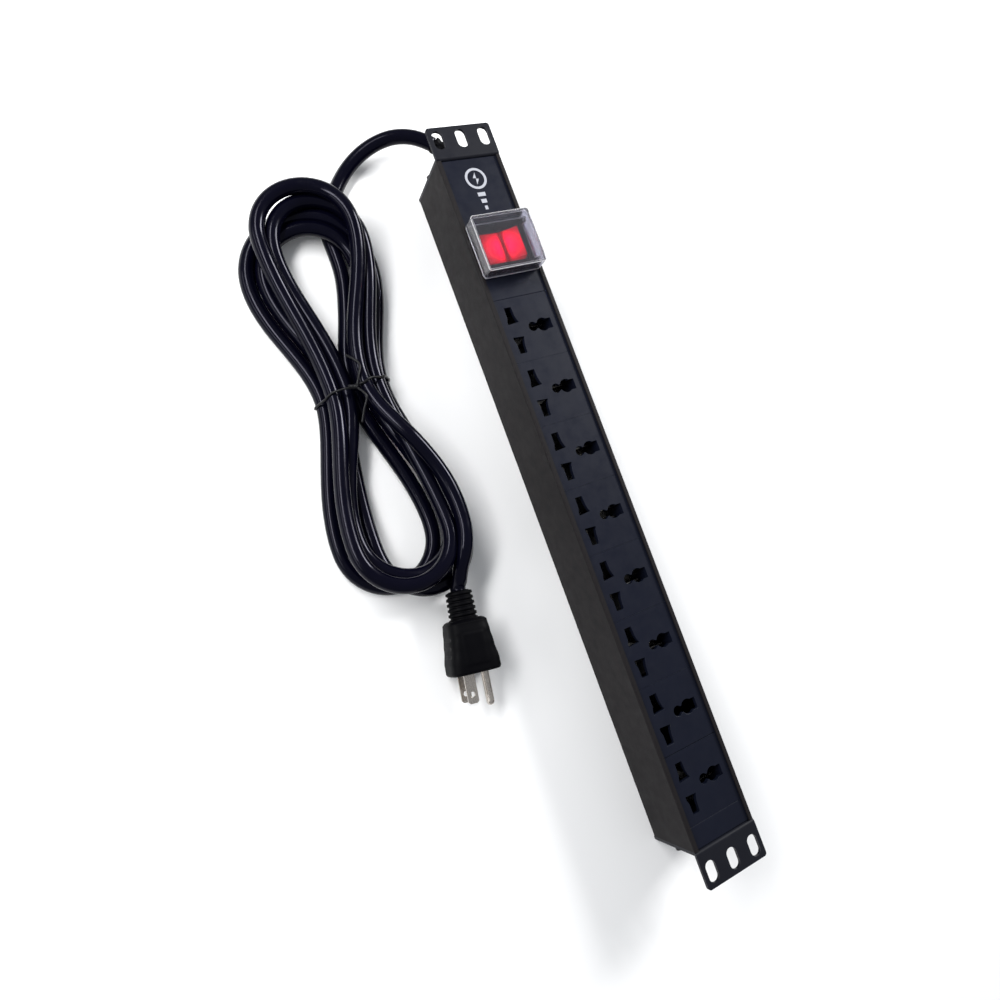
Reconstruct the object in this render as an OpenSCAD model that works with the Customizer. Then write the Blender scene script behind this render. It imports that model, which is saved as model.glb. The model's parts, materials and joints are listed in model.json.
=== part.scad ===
// Rack power strip: a one-unit aluminium channel with eight universal sockets, an
// illuminated rocker switch under a clear flip lid, two rack ears and a tied mains lead.
// The strip lies on its back: sockets face +Z, the length runs along X, lead at -X.

/* [Body] */
// Overall length over the two rack ears
panel_l = 482.6; // [478:0.1:486]
// Length of the channel between the end plates
body_l = 438; // [434:1:440]
// Width of the channel, one rack unit
body_w = 44.4; // [44:0.1:46]
// Depth of the channel behind the rack rails
body_h = 44.4; // [44:0.1:50]
// Wall thickness of the channel
wall = 1.6; // [1.4:0.1:2]
// Width of each front lip, measured from the outside
lip_w = 2.8; // [2.6:0.1:3.2]
// Thickness of the front lips
lip_t = 1.2; // [1:0.1:1.4]

/* [Rack ears] */
// Thickness of the bent end brackets
bracket_t = 2; // [1.5:0.1:2.5]
// Distance between the slots of the two ears
slot_span = 465.1; // [464:0.1:466]
// Distance between neighbouring slots in one ear
slot_pitch = 15.875; // [15:0.005:16]
// Width of a slot
slot_w = 7; // [6.4:0.1:7.4]
// Length of a slot
slot_l = 12.5; // [10:0.5:13]

/* [Sockets] */
// Number of sockets
socket_count = 8; // [8]
// Length of one socket module
socket_pitch = 41.3; // [41:0.1:41.6]
// Distance of the live and neutral line from the middle
power_y = 11.4; // [11:0.1:11.6]
// Distance of the live and neutral contacts from the middle of the socket
power_x = 9.6; // [9.4:0.1:9.8]

/* [Switch and lid] */
// Position of the switch along the strip
switch_x = -156.5; // [-158:0.5:-155]
// Half of the rocker's travel in degrees
rocker_tilt = 10; // [8:1:10]
// Length of the clear lid along the strip
lid_l = 36; // [36:1:38]
// Width of the clear lid across the strip
lid_w = 40; // [40:0.5:41]
// Height of the clear lid's top above the lips
lid_h = 11; // [10.5:0.5:13]

/* [Mains lead] */
// Diameter of the lead
cord_d = 9.4; // [8.5:0.1:9.6]
// Length of the tied hank
hank_l = 272; // [268:1:276]
// Width of the hank's two loops
hank_w = 86; // [82:1:90]
// Width of the hank where it is tied
hank_waist = 50; // [46:1:54]
// Height of the hank
hank_h = 22; // [20:1:24]

/* [Hidden] */

$fn = 48;
eps = 0.01;
half_l = body_l / 2;
half_w = body_w / 2;
mouth_w = body_w - 2 * lip_w;
gap = 0.1;
// Level of the plastic faces, just under the lips
face_z = body_h - lip_t - gap;
face_t = 2.9;
module_w = body_w - 2 * wall - 0.4;

// Screw ports down both side walls, and the screws in them
port_y = 18.6;
port_z = body_h / 2;
port_r = 2.6;
screw_r = 1.4;
screw_hole_r = 1.45;

// Sockets: the row ends one filler before the far end plate
filler_l = 12.9;
socket_row_end = half_l - filler_l;
skirt_w = 31.6;
skirt_t = 0.9;
skirt_l = socket_pitch - 2.3;
back_z = 12.8;
bar_z = 15;
bar_h = 6;
strip_t = 0.8;
arm_h = 19;
arm_t = 0.7;

function socket_x(i) = socket_row_end - (socket_count - i - 0.5) * socket_pitch;

// Switch
pivot_z = 41;
bezel_h = 2;
opening_y = 27.6;
opening_x = 20.2;
switch_floor = 22;
pole_x = 5;
lever_z = 32.2;
lever_tilt = 8;
load_y = 9;
spade_bottom = 14;

// Lid
hinge_y = 18.6;
hinge_z = body_h + 3;
hinge_r = 1.7;
pin_r = 0.8;
lid_wall = 1.3;
lid_bottom = body_h + 0.4;
lid_top = body_h + lid_h;
post_in = 12;
post_out = 15;
frame_t = 1.4;

// Gland and lead
gland_hole_r = 7.5;
plate_out = half_l + bracket_t;
boot_bend_r = 36;
boot_angle = 41;
cord_r = cord_d / 2;
hank_x = -104;
hank_y = -111;
tie_x = hank_x + 4;
tie_w = 2.4;
tie_t = 1.2;

// Route of the lead from the boot's tip to the hank
lead_route = [
    [-244.6, -8.8, 22], [-252, -19, 21], [-256.5, -32, 17.5], [-255.5, -46, 12.5],
    [-250, -59, 8], [-241, -70, 5.2], [-230, -79, 4.8], [-219, -88, 4.8]
];

// Plug: where its lead enters, and which way it lies
plug_pos = [33, -92.5, 13];
plug_turn = -9;
relief_l = 17;
plug_l = 31;
plug_h = 26;
blade_gap = 12.7;
earth_gap = 11.9;
blade_y = -5.4;

// ---------------------------------------------------------------- swept tubes

function unit(v) = v / norm(v);

// One point of a smooth curve through four neighbouring points
function between(p, q, r, s, t) =
    0.5 * (2 * q + (r - p) * t + (2 * p - 5 * q + 4 * r - s) * t * t
    + (3 * q - p - 3 * r + s) * t * t * t);

// A smooth curve through all the points, with n steps in each stretch
function smooth(p, n) = [
    for (i = [0 : len(p) - 2]) for (k = [0 : n - 1])
        between(p[max(i - 1, 0)], p[i], p[i + 1], p[min(i + 2, len(p) - 1)], k / n),
    p[len(p) - 1]
];

function headings(p) = [
    for (i = [0 : len(p) - 1]) unit(p[min(i + 1, len(p) - 1)] - p[max(i - 1, 0)])
];

// A sideways direction for each ring, carried along the curve without twist
function sideways(h, i, last) =
    i == len(h) ? [] :
    let (s = unit(last - (last * h[i]) * h[i]))
    concat([s], sideways(h, i + 1, s));

// A closed tube along the points, with one radius for each ring
module swept(p, radii, sides = 8, start = [0, 0, 1]) {
    h = headings(p);
    s = sideways(h, 0, start);
    rings = [
        for (i = [0 : len(p) - 1]) for (k = [0 : sides - 1])
            p[i] + radii[i] * (s[i] * cos(360 * k / sides) + cross(h[i], s[i]) * sin(360 * k / sides))
    ];
    last = (len(p) - 1) * sides;
    walls = [
        for (i = [0 : len(p) - 2]) for (k = [0 : sides - 1])
            let (a = i * sides + k, b = i * sides + (k + 1) % sides)
            each [[a, a + sides, b + sides], [a, b + sides, b]]
    ];
    polyhedron(
        rings,
        concat(walls, [[for (k = [0 : sides - 1]) k]], [[for (k = [sides - 1 : -1 : 0]) last + k]]),
        convexity = 6
    );
}

module wire(p, r, start = [0, 0, 1]) {
    path = smooth(p, 4);
    swept(path, [for (q = path) r], 8, start);
}

// ---------------------------------------------------------------- shared shapes

module rounded_rect(l, w, r) {
    square([l - 2 * r, w], center = true);
    square([l, w - 2 * r], center = true);
    for (x = [-1, 1], y = [-1, 1])
        translate([x * (l / 2 - r), y * (w / 2 - r)]) circle(r);
}

// Stands the drawn section up in YZ and runs it along X
module along_x(l) {
    rotate([90, 0, 90]) translate([0, 0, -l / 2]) linear_extrude(l) children();
}

// Lays a cylinder along X
module rod_x(l, r) {
    rotate([0, 90, 0]) cylinder(h = l, r = r, center = true);
}

module box(x, y, z) {
    translate([x[0], y[0], z[0]]) cube([x[1] - x[0], y[1] - y[0], z[1] - z[0]]);
}

// ---------------------------------------------------------------- channel and ears

module housing_section() {
    difference() {
        translate([0, body_h / 2]) rounded_rect(body_w, body_h, 1.2);
        translate([-half_w + wall, wall]) square([body_w - 2 * wall, body_h - wall - lip_t]);
        translate([-mouth_w / 2, body_h / 2]) square([mouth_w, body_h]);
    }
    for (side = [-1, 1]) difference() {
        union() {
            translate([side * port_y, port_z]) circle(port_r);
            translate([side * (half_w - wall / 2 - 1) - 1, port_z - port_r]) square([2, 2 * port_r]);
        }
        translate([side * port_y, port_z]) circle(screw_hole_r);
    }
}

module housing() {
    color([0.16, 0.155, 0.15]) along_x(body_l) housing_section();
}

// Bent bracket for the +X end: an end plate with the ear turned outwards at the front
module ear_bracket() {
    ear_l = panel_l / 2 - plate_out;
    difference() {
        rotate([90, 0, 0]) translate([0, 0, -half_w]) linear_extrude(body_w) {
            translate([half_l, 0]) square([bracket_t, body_h - bracket_t]);
            translate([plate_out - eps, body_h - bracket_t]) square([ear_l + eps, bracket_t]);
            translate([plate_out, body_h - bracket_t]) circle(bracket_t);
        }
        // The bend is round on the channel's side only
        box(
            [plate_out, plate_out + bracket_t],
            [-half_w - 1, half_w + 1],
            [body_h - 2 * bracket_t - 1, body_h - bracket_t]
        );
        for (row = [-1 : 1]) translate([slot_span / 2, row * slot_pitch, body_h]) ear_slot();
        for (side = [-1, 1]) translate([half_l, side * port_y, port_z]) rod_x(4 * bracket_t, 1.7);
        for (side = [-1, 1]) translate([panel_l / 2, side * half_w, body_h]) ear_corner(side);
    }
}

module ear_slot() {
    straight = slot_l - slot_w;
    for (end = [-1, 1]) translate([end * straight / 2, 0, 0])
        cylinder(h = 4 * bracket_t, r = slot_w / 2, center = true);
    cube([straight, slot_w, 4 * bracket_t], center = true);
}

// What the rounding takes off an outer corner of the ear
module ear_corner(side, r = 2) {
    difference() {
        cube([2 * r, 2 * r, 4 * bracket_t], center = true);
        translate([-r, -side * r, 0]) cylinder(h = 5 * bracket_t, r = r, center = true);
    }
}

module ear_bracket_cord_end() {
    color([0.1, 0.1, 0.105]) difference() {
        mirror([1, 0, 0]) ear_bracket();
        translate([-half_l, 0, port_z]) rod_x(4 * bracket_t, gland_hole_r);
    }
}

module ear_bracket_far_end() {
    color([0.1, 0.1, 0.105]) ear_bracket();
}

// Pan-head screw with a cross recess, its head on the outside of the end plate
module end_screw() {
    head_h = 2;
    difference() {
        union() {
            translate([head_h / 2, 0, 0]) rod_x(head_h, 3);
            translate([-4.5 + eps, 0, 0]) rod_x(9, screw_r);
        }
        for (turn = [0, 90]) rotate([turn, 0, 0]) box([head_h - 1.1, head_h + 1], [-1.7, 1.7], [-0.4, 0.4]);
    }
}

module end_screws() {
    color([0.12, 0.12, 0.12]) for (end = [0, 1], side = [-1, 1])
        mirror([end, 0, 0]) translate([plate_out, side * port_y, port_z]) end_screw();
}

// ---------------------------------------------------------------- front panels

module front_plate(x0, x1) {
    box([x0 + gap / 2, x1 - gap / 2], [-module_w / 2, module_w / 2], [face_z - face_t, face_z]);
}

module switch_panel() {
    color([0.13, 0.14, 0.15]) difference() {
        front_plate(-half_l + gap, socket_x(0) - socket_pitch / 2);
        translate([switch_x, 0, face_z]) cube([22.8, 30.4, 4 * face_t], center = true);
    }
}

// Generic badge: a ring with a bolt in it, and three bars beside it
module printed_mark() {
    ink = 0.12;
    color([0.92, 0.93, 0.93]) translate([-205, 0, face_z]) linear_extrude(ink) {
        difference() {
            circle(7.2);
            circle(5.6);
        }
        polygon([[-4.2, 0.4], [-0.4, -1.9], [-0.2, 0], [4.2, -0.4], [0.4, 1.9], [0.2, 0.2]]);
        for (bar = [0 : 2]) translate([9.6 + bar * 4.6, -2.6 + bar * 0.8]) square([2.6, 5.2 - bar * 1.6]);
    }
}

module end_filler() {
    color([0.13, 0.14, 0.15]) union() {
        front_plate(socket_row_end, half_l - gap);
        box([socket_row_end + 2, socket_row_end + 3.2], [-12, 12], [24, face_z - face_t + eps]);
    }
}

// ---------------------------------------------------------------- sockets

// Live or neutral hole: wide and flared near the middle, narrow at the outer end
module power_hole() {
    polygon([
        [4.2, -14.8], [4.8, -7.2], [6.2, -7.9], [9.5, -8.7], [15.1, -9], [15.1, -13.8],
        [8.6, -13.9], [6, -14.8]
    ]);
}

// Earth hole: a round hole, a neck, and a larger round hole with a square end
module earth_hole() {
    translate([0, 1]) circle(3);
    translate([-1.8, 1]) square([3.6, 8]);
    translate([0, 8.2]) circle(4.3);
    translate([-3.3, 8.2]) square([6.6, 6.2]);
}

module socket_module(i) {
    x = socket_x(i);
    color([0.13, 0.14, 0.15]) difference() {
        union() {
            front_plate(x - socket_pitch / 2, x + socket_pitch / 2);
            box(
                [x - skirt_l / 2, x + skirt_l / 2],
                [-skirt_w / 2, skirt_w / 2],
                [back_z + 2, face_z - face_t + eps]
            );
        }
        box(
            [x - skirt_l / 2 + 1.2, x + skirt_l / 2 - 1.2],
            [-skirt_w / 2 + skirt_t, skirt_w / 2 - skirt_t],
            [0, face_z - face_t]
        );
        // Both end walls stop above the bars that run from socket to socket
        box([x - skirt_l, x + skirt_l], [-skirt_w / 2 + skirt_t, skirt_w / 2 - skirt_t], [0, 24]);
        translate([x, 0, face_z - 2 * face_t]) linear_extrude(3 * face_t) {
            power_hole();
            mirror([1, 0]) power_hole();
            earth_hole();
        }
    }
}

module socket_1() { socket_module(0); }
module socket_2() { socket_module(1); }
module socket_3() { socket_module(2); }
module socket_4() { socket_module(3); }
module socket_5() { socket_module(4); }
module socket_6() { socket_module(5); }
module socket_7() { socket_module(6); }
module socket_8() { socket_module(7); }

// A back for each socket, which holds the contact strips up from the channel's floor
module socket_backs() {
    color([0.2, 0.2, 0.21]) for (i = [0 : socket_count - 1]) translate([socket_x(i), 0, 0]) {
        box([-skirt_l / 2, skirt_l / 2], [-skirt_w / 2, skirt_w / 2], [back_z, back_z + 2 - gap]);
        for (side = [-1, 1]) box([-15, 15], [side * 8 - 1, side * 8 + 1], [wall + gap, back_z + eps]);
    }
}

// Two spring arms that stand on a foot, open along X, with flared tips
module clip_pair(l, apart) {
    for (side = [0, 1]) mirror([0, side, 0]) along_x(l)
        polygon([
            [apart / 2, 0], [apart / 2 + arm_t, 0], [apart / 2 + arm_t, arm_h - 3],
            [apart / 2 + arm_t + 0.5, arm_h], [apart / 2 + 0.5, arm_h], [apart / 2, arm_h - 3]
        ]);
}

// A strip on its edge with one foot and one clip for each socket
module power_busbar(bar_y, clip_x) {
    near = max(bar_y, -power_y + 2);
    far = min(bar_y, -power_y - 2);
    box(
        [socket_x(0) - socket_pitch / 2 - 6, socket_x(socket_count - 1) + clip_x + 5],
        [bar_y - strip_t / 2, bar_y + strip_t / 2],
        [bar_z, bar_z + bar_h]
    );
    for (i = [0 : socket_count - 1]) translate([socket_x(i) + clip_x, 0, bar_z]) {
        box([-4.2, 4.2], [far, near], [0, strip_t]);
        translate([0, -power_y, 0]) clip_pair(8.4, 2.6);
    }
}

module live_busbar() {
    color([0.8, 0.62, 0.3]) power_busbar(-14.4, -power_x);
}

module neutral_busbar() {
    color([0.8, 0.62, 0.3]) power_busbar(-8, power_x);
}

module earth_busbar() {
    color([0.8, 0.62, 0.3]) union() {
        box(
            [socket_x(0) - socket_pitch / 2 - 6, socket_x(socket_count - 1) + 5],
            [14.4 - strip_t / 2, 14.4 + strip_t / 2],
            [bar_z, bar_z + bar_h]
        );
        for (i = [0 : socket_count - 1]) translate([socket_x(i), 0, bar_z]) {
            box([-3.1, 3.1], [-1, 14.4], [0, strip_t]);
            translate([0, 5.8, 0]) rotate([0, 0, 90]) clip_pair(13.5, 4.4);
        }
    }
}

// ---------------------------------------------------------------- switch

module switch_body() {
    color([0.05, 0.05, 0.055]) translate([switch_x, 0, 0]) difference() {
        union() {
            translate([0, 0, face_z]) linear_extrude(bezel_h) rounded_rect(25, 31.6, 1.5);
            box([-11.2, 11.2], [-15, 15], [switch_floor, face_z + eps]);
        }
        box([-opening_x / 2, opening_x / 2], [-opening_y / 2, opening_y / 2], [switch_floor + 1.2, 60]);
        translate([0, 0, pivot_z]) rod_x(23, 1.55);
        // Openings for the spades through the floor
        for (x = [-1, 1], y = [0, load_y])
            translate([x * pole_x, y, switch_floor]) cube([5, 1, 4], center = true);
    }
}

// Places things on the rocker as it rests, with its -Y end pressed
module on_rocker() {
    translate([switch_x, 0, pivot_z]) rotate([rocker_tilt, 0, 0]) children();
}

module rocker() {
    color([0.9, 0.1, 0.16]) on_rocker() difference() {
        union() {
            along_x(19.4) polygon([
                [-12.4, -1.5], [-10.8, -3], [10.8, -3], [12.4, -1.5],
                [12.4, 7.2], [9, 6], [5, 4.9], [0, 4.3], [-5, 4.9], [-9, 6], [-12.4, 7.2]
            ]);
            rod_x(21.8, 1.5);
            for (x = [-1, 1]) translate([x * pole_x, 0, -5.5]) cylinder(h = 3, r = 2.1);
        }
        for (x = [-1, 1]) translate([x * pole_x, 0, -6]) cylinder(h = 8.6, r = 1.45);
    }
}

module rocker_plungers() {
    color([0.8, 0.62, 0.3]) on_rocker() for (x = [-1, 1]) translate([x * pole_x, 0, -7.8]) {
        cylinder(h = 6.6, r = 1.4);
    }
}

module plunger_springs() {
    turns = 4;
    steps = 10;
    color([0.7, 0.7, 0.72]) on_rocker() for (x = [-1, 1]) {
        coil = [
            for (k = [0 : turns * steps])
                [x * pole_x + cos(360 * k / steps), sin(360 * k / steps), -0.9 + 3.2 * k / (turns * steps)]
        ];
        swept(coil, [for (q = coil) 0.2], 6);
    }
}

// Seesaw contacts, tipped by the plungers and closed on the load side
module contact_levers() {
    color([0.8, 0.62, 0.3]) for (x = [-1, 1])
        translate([switch_x + x * pole_x, 0, lever_z]) rotate([-lever_tilt, 0, 0]) {
            cube([3.6, 19, 0.8], center = true);
            translate([0, load_y - 0.6, -0.9]) cylinder(h = 0.6, r = 1.5);
        }
}

// A flat spade through the switch's floor
module spade(y, top) {
    for (x = [-1, 1]) translate([switch_x + x * pole_x, y, 0])
        box([-2.4, 2.4], [-0.4, 0.4], [spade_bottom, top]);
}

module switch_feed_terminals() {
    color([0.8, 0.62, 0.3]) union() {
        spade(0, lever_z - 1.6);
        for (x = [-1, 1]) translate([switch_x + x * pole_x, 0, lever_z - 1.6])
            along_x(4.8) polygon([[-0.8, -2], [0.8, -2], [0, 0.8]]);
    }
}

module switch_load_terminals() {
    color([0.8, 0.62, 0.3]) union() {
        spade(load_y, 27.6);
        for (x = [-1, 1]) translate([switch_x + x * pole_x, load_y - 1, 27.2]) {
            box([-2.4, 2.4], [-1.4, 1.4], [0, 0.8]);
            translate([0, 0, 0.8 - eps]) cylinder(h = 1, r = 1.5);
        }
    }
}

module switch_lamp() {
    color([1, 0.55, 0.4]) translate([switch_x, -7.5, 27]) {
        rod_x(9, 2);
        for (x = [-1, 1]) translate([x * 3.5, 0, -3.7]) cylinder(h = 3.7, r = 0.35);
    }
}

// ---------------------------------------------------------------- clear lid

// Flange round the switch with two hinge posts
module lid_frame() {
    color([0.75, 0.78, 0.8, 0.5]) translate([switch_x, 0, 0]) difference() {
        union() {
            box([-lid_l / 2 + 0.5, lid_l / 2 - 0.5], [-19, 19], [face_z, face_z + frame_t]);
            for (side = [-1, 1]) translate([side * (post_in + post_out) / 2, 0, 0]) {
                translate([0, hinge_y, hinge_z]) rod_x(post_out - post_in, hinge_r);
                box(
                    [-(post_out - post_in) / 2, (post_out - post_in) / 2],
                    [hinge_y - hinge_r, 19],
                    [face_z + frame_t - eps, hinge_z]
                );
            }
        }
        translate([0, 0, face_z]) cube([25.4, 32, 8], center = true);
        translate([0, hinge_y, hinge_z]) rod_x(3 * post_out, pin_r);
    }
}

module clear_lid() {
    notch = post_out - post_in + 0.6;
    color([0.85, 0.88, 0.9, 0.35]) translate([switch_x, 0, 0]) difference() {
        union() {
            difference() {
                translate([0, 0, lid_bottom]) linear_extrude(lid_top - lid_bottom)
                    rounded_rect(lid_l, lid_w, 2);
                translate([0, 0, lid_bottom - 1]) linear_extrude(lid_top - lid_wall - lid_bottom + 1)
                    rounded_rect(lid_l - 2 * lid_wall, lid_w - 2 * lid_wall, 0.8);
                // The back edge is higher, so that it swings clear of the frame
                box([-lid_l, lid_l], [hinge_y - 0.6, lid_w], [0, hinge_z - 2]);
            }
            translate([0, hinge_y, hinge_z]) rod_x(2 * post_in - 1, hinge_r);
        }
        for (side = [-1, 1]) translate([side * (post_in + post_out) / 2, 0, 0])
            box([-notch / 2, notch / 2], [hinge_y - 2.2, lid_w], [0, hinge_z + 2.6]);
        translate([0, hinge_y, hinge_z]) rod_x(3 * post_out, pin_r + 0.05);
    }
}

module lid_hinge_pin() {
    color([0.75, 0.75, 0.77]) translate([switch_x, hinge_y, hinge_z]) rod_x(2 * post_out, pin_r);
}

// ---------------------------------------------------------------- wiring inside

feed_x = [switch_x - pole_x, switch_x + pole_x];
sleeve_z = 7;

module crimp_sleeves() {
    color([0.75, 0.12, 0.1]) for (x = feed_x, y = [0, load_y])
        translate([x, y, sleeve_z]) difference() {
            cylinder(h = 9, r = 3.1);
            translate([0, 0, 12]) cube([4.9, 0.9, 10.1], center = true);
        }
}

module feed_live_wire() {
    color([0.36, 0.2, 0.1]) wire(
        [
            [-203, -2.6, 21], [-196, -5, 19], [-186, -6.5, 11], [-176, -5, 4.6], [-166, -1.6, 3.4],
            [-161.5, 0, 5], [-161.5, 0, 7]
        ],
        1.3
    );
}

module feed_neutral_wire() {
    color([0.15, 0.35, 0.75]) wire(
        [
            [-203, 2.6, 21], [-195, 4, 15], [-184, 4.6, 7], [-172, 4.6, 3.4], [-160, 4.4, 3.2],
            [-153.5, 1.5, 3.6], [-151.5, 0, 5], [-151.5, 0, 7]
        ],
        1.3
    );
}

module feed_earth_wire() {
    color([0.45, 0.65, 0.2]) wire(
        [[-203, 0, 24.8], [-199, 4, 24], [-198, 9, 17], [-197, 11, 11], [-195, 11, 8.8], [-191.4, 11, 8.7]],
        1.3
    );
}

module load_live_wire() {
    color([0.36, 0.2, 0.1]) wire(
        [
            [-161.5, 9, 7], [-161.5, 9, 4.8], [-158, 10.5, 3.4], [-148, 12, 3.2], [-140, 5, 4],
            [-137, -8, 8], [-134, -14.2, 14], [-131.4, -16.2, 18], [-128, -16.4, 18], [-125, -16.4, 18]
        ],
        1.3
    );
}

module load_neutral_wire() {
    color([0.15, 0.35, 0.75]) wire(
        [
            [-151.5, 9, 7], [-151.5, 9, 5.4], [-149, 7, 4.6], [-143, 0, 8], [-137, -5, 14],
            [-132, -6.2, 18], [-125, -6.2, 18]
        ],
        1.3
    );
}

module bond_wire() {
    color([0.45, 0.65, 0.2]) wire(
        [
            [-178.6, 11, 11], [-174, 13, 11.5], [-168, 17.2, 12], [-150, 17.4, 12], [-138, 17.2, 14],
            [-132, 16.4, 18], [-125, 16.2, 18]
        ],
        1.3
    );
}

module earth_stud() {
    color([0.7, 0.7, 0.72]) translate([-185, 11, wall]) cylinder(h = 13, r = 2);
}

module earth_nut() {
    color([0.7, 0.7, 0.72]) translate([-185, 11, wall + 10.3]) difference() {
        cylinder(h = 2.4, r = 4, $fn = 6);
        translate([0, 0, -1]) cylinder(h = 5, r = 2.05);
    }
}

// Ring tags of the two earth wires, one above the other on the stud
module earth_rings() {
    color([0.75, 0.75, 0.76]) for (tag = [[7.7, -1], [10, 1]]) translate([-185, 11, tag[0]]) difference() {
        union() {
            cylinder(h = 0.8, r = 3.8);
            translate([tag[1] > 0 ? 0 : -5, -1.6, 0]) cube([5, 3.2, 0.8]);
            translate([tag[1] * 5.6, 0, 1]) rod_x(1.6, 1.9);
        }
        translate([0, 0, -2]) cylinder(h = 5, r = 2.1);
    }
}

// Stripped end of the lead's sheath inside the channel
module inner_sheath() {
    color([0.04, 0.04, 0.045]) translate([-206, 0, port_z]) rod_x(6, cord_r);
}

// ---------------------------------------------------------------- mains lead

function boot_point(a) = [
    -plate_out - boot_bend_r * sin(a), -boot_bend_r * (1 - cos(a)), port_z
];

// Snap-in bush in the end plate with a tapered, ribbed boot that bends with the lead
module cord_gland() {
    rings = 16;
    boot = [for (k = [0 : rings]) boot_point(boot_angle * k / rings)];
    ribs = [for (k = [0 : rings]) 7.2 - 1.9 * k / rings - (k % 3 == 2 ? 0.7 : 0)];
    color([0.05, 0.05, 0.055]) {
        translate([-plate_out - 1.5, 0, port_z]) rod_x(3, 9);
        translate([-plate_out + 6, 0, port_z]) rod_x(12 + eps, gland_hole_r - 0.05);
        swept(boot, ribs, 16);
    }
}

module cord_lead() {
    path = smooth(lead_route, 2);
    color([0.04, 0.04, 0.045]) swept(path, [for (q = path) cord_r], 12);
}

// Half width of the hank at a distance u along it from its middle
function hank_half(u) =
    hank_waist / 2 + (hank_w - hank_waist) / 4 * (1 - cos(180 * u / (hank_l / 2 - hank_w / 2)));

module hank_outline() {
    reach = hank_l / 2 - hank_w / 2;
    flank = [for (k = [-10 : 10]) [reach * k / 10, hank_half(reach * k / 10)]];
    round_end = [for (a = [80 : -10 : -80]) [reach + hank_w / 2 * cos(a), hank_w / 2 * sin(a)]];
    polygon(concat(flank, round_end, -flank, -round_end));
}

module cord_hank() {
    color([0.04, 0.04, 0.045]) translate([hank_x, hank_y, 0]) difference() {
        linear_extrude(hank_h) hank_outline();
        difference() {
            box([tie_x - hank_x - tie_w / 2, tie_x - hank_x + tie_w / 2], [-60, 60], [-1, hank_h + 1]);
            box(
                [-20, 20],
                [-hank_waist / 2 + tie_t, hank_waist / 2 - tie_t],
                [tie_t, hank_h - tie_t]
            );
        }
    }
}

module hank_tie() {
    inner = hank_waist - 2 * tie_t;
    color([0.06, 0.06, 0.065]) translate([tie_x, hank_y, hank_h / 2]) difference() {
        cube([tie_w, hank_waist, hank_h], center = true);
        cube([2 * tie_w, inner, hank_h - 2 * tie_t], center = true);
    }
}

// Places things on the plug: +X runs from the lead to the blades
module on_plug() {
    translate(plug_pos) rotate([0, 0, plug_turn]) children();
}

module plug_relief() {
    color([0.05, 0.05, 0.055]) on_plug() {
        translate([relief_l / 2, 0, 0]) rod_x(relief_l, 6);
        for (rib = [0 : 3]) translate([2 + rib * 4.2, 0, 0]) rod_x(2.6, 8.2);
    }
}

// Slice t thick of the plug's body, across it at x
module plug_slice(x, t, height, width, corner) {
    translate([x, 0, 0]) rotate([0, 90, 0]) linear_extrude(t) rounded_rect(height, width, corner, $fn = 32);
}

module plug_body() {
    color([0.06, 0.06, 0.065]) on_plug() hull() {
        plug_slice(relief_l, 1, 14, 17, 5);
        plug_slice(relief_l + 2, 3, 17, 20, 5);
        plug_slice(relief_l + 9, 3, plug_h, 27, 7);
        plug_slice(relief_l + plug_l - 3, 3, plug_h, plug_l, 9);
    }
}

module plug_blade(side) {
    tip = relief_l + plug_l + 16.5;
    on_plug() translate([0, blade_y, side * blade_gap / 2]) difference() {
        box([relief_l + plug_l, tip], [-3.175, 3.175], [-0.76, 0.76]);
        translate([tip - 5, 0, 0]) cylinder(h = 4, r = 1.6, center = true);
        for (edge = [-1, 1]) translate([tip, edge * 3.175, 0]) rotate([0, 0, 45])
            cube([1.6, 1.6, 4], center = true);
    }
}

module plug_live_blade() {
    color([0.75, 0.72, 0.62]) plug_blade(1);
}

module plug_neutral_blade() {
    color([0.75, 0.72, 0.62]) plug_blade(-1);
}

module plug_earth_pin() {
    pin_l = 20.5;
    color([0.8, 0.8, 0.8]) on_plug() translate([relief_l + plug_l, blade_y + earth_gap, 0]) {
        translate([(pin_l - 2.38) / 2, 0, 0]) rod_x(pin_l - 2.38, 2.38);
        translate([pin_l - 2.38, 0, 0]) sphere(2.38);
    }
}

// ---------------------------------------------------------------- assembly

housing();
ear_bracket_cord_end();
ear_bracket_far_end();
end_screws();
switch_panel();
printed_mark();
end_filler();
socket_1();
socket_2();
socket_3();
socket_4();
socket_5();
socket_6();
socket_7();
socket_8();
socket_backs();
live_busbar();
neutral_busbar();
earth_busbar();
switch_body();
rocker();
rocker_plungers();
plunger_springs();
contact_levers();
switch_feed_terminals();
switch_load_terminals();
switch_lamp();
lid_frame();
clear_lid();
lid_hinge_pin();
crimp_sleeves();
feed_live_wire();
feed_neutral_wire();
feed_earth_wire();
load_live_wire();
load_neutral_wire();
bond_wire();
earth_stud();
earth_nut();
earth_rings();
inner_sheath();
cord_gland();
cord_lead();
cord_hank();
hank_tie();
plug_relief();
plug_body();
plug_live_blade();
plug_neutral_blade();
plug_earth_pin();
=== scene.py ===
"""The looks of a rack power strip with its mains lead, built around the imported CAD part."""

import json
import math

import bmesh
import bpy
import numpy as np
from mathutils import Matrix, Quaternion, Vector

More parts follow.
